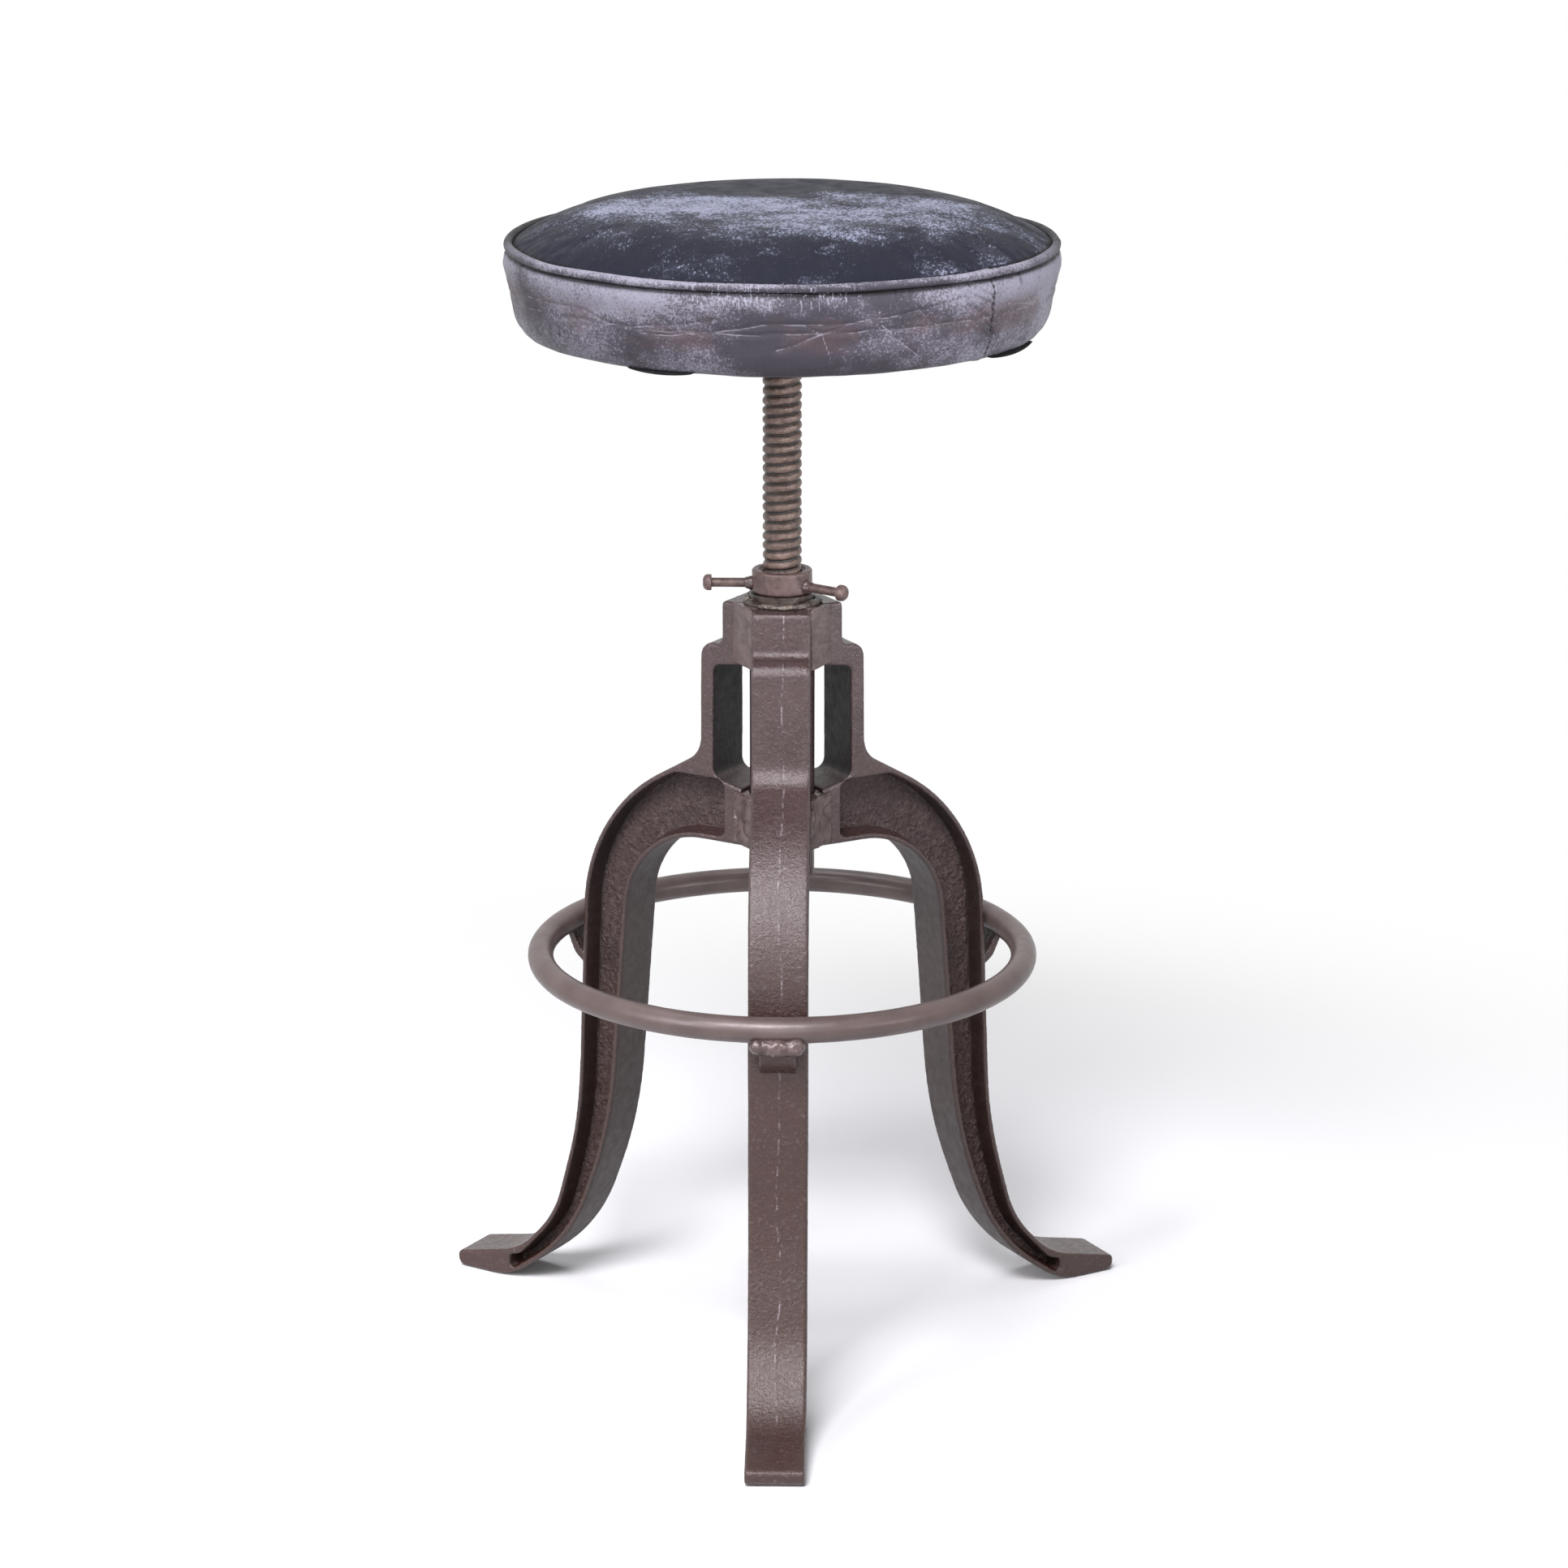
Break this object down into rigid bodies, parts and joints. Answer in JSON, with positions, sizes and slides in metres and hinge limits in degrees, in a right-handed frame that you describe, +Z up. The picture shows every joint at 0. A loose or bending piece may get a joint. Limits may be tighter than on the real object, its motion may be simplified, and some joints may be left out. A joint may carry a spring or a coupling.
{
  "type": "machinist stool",
  "caption": "Workshop stool with a round leather seat on a lift screw, cast iron legs that curve outwards, a lock collar with handles and a footrest ring outside the legs.",
  "frame": {"origin": "on the screw axis at floor level", "axes": "+Z up along the lift screw, -Y towards the front leg, +X to the right seen from the front"},
  "size_m": [0.4594, 0.4327, 0.768],
  "materials": {
    "leg_iron": "dark brown, worn satin paint on a rough casting",
    "pipe_steel": "dark brown satin",
    "oily_steel": "brown, oily, worn",
    "weld_metal": "dark, satin, uneven",
    "ring_steel": "grey brown, worn smooth",
    "plywood": "raw",
    "foam": "open foam",
    "seat_leather": "dark blue grey, distressed, waxy",
    "black_cloth": "matt woven"
  },
  "bodies": {
    "base": {"leg_front": "leg_iron", "leg_left": "leg_iron", "leg_right": "leg_iron", "centre_pipe": "pipe_steel", "screw_nut": "oily_steel", "hub_welds_upper": "weld_metal", "hub_welds_lower": "weld_metal", "hub_weld_top": "weld_metal", "footrest_ring": "ring_steel", "ring_bracket_front": "leg_iron", "ring_bracket_left": "leg_iron", "ring_bracket_right": "leg_iron", "ring_welds": "weld_metal"},
    "collar": {"lock_collar": "oily_steel", "lock_handle_left": "oily_steel", "lock_handle_right": "oily_steel", "handle_welds": "weld_metal"},
    "guide": {"stop_ring": "oily_steel"},
    "seat": {"lift_screw": "oily_steel", "stop_washer": "oily_steel", "stop_bolt": "oily_steel", "seat_plate": "oily_steel", "plate_weld": "weld_metal", "plate_bolts": "oily_steel", "seat_board": "plywood", "foam_pad": "foam", "leather_top": "seat_leather", "leather_band": "seat_leather", "seat_piping": "seat_leather", "dust_cover": "black_cloth"}
  },
  "joints": [
    {"name": "screw_lift", "type": "slide", "parent": "base", "child": "guide", "axis": [0, 0, 1], "range_m": [-0.125, 0.015]},
    {"name": "seat_turn", "type": "hinge", "parent": "guide", "child": "seat", "pos_m": [0, 0, 0.6], "axis": [0, 0, 1], "range_deg": [-7080, 846]},
    {"name": "lock_collar_turn", "type": "hinge", "parent": "base", "child": "collar", "pos_m": [0, 0, 0.523], "axis": [0, 0, 1], "range_deg": [0, 120]}
  ],
  "couplings": [
    {"joint": "screw_lift", "follows": "seat_turn", "m_per_rad": 0.0010106}
  ]
}
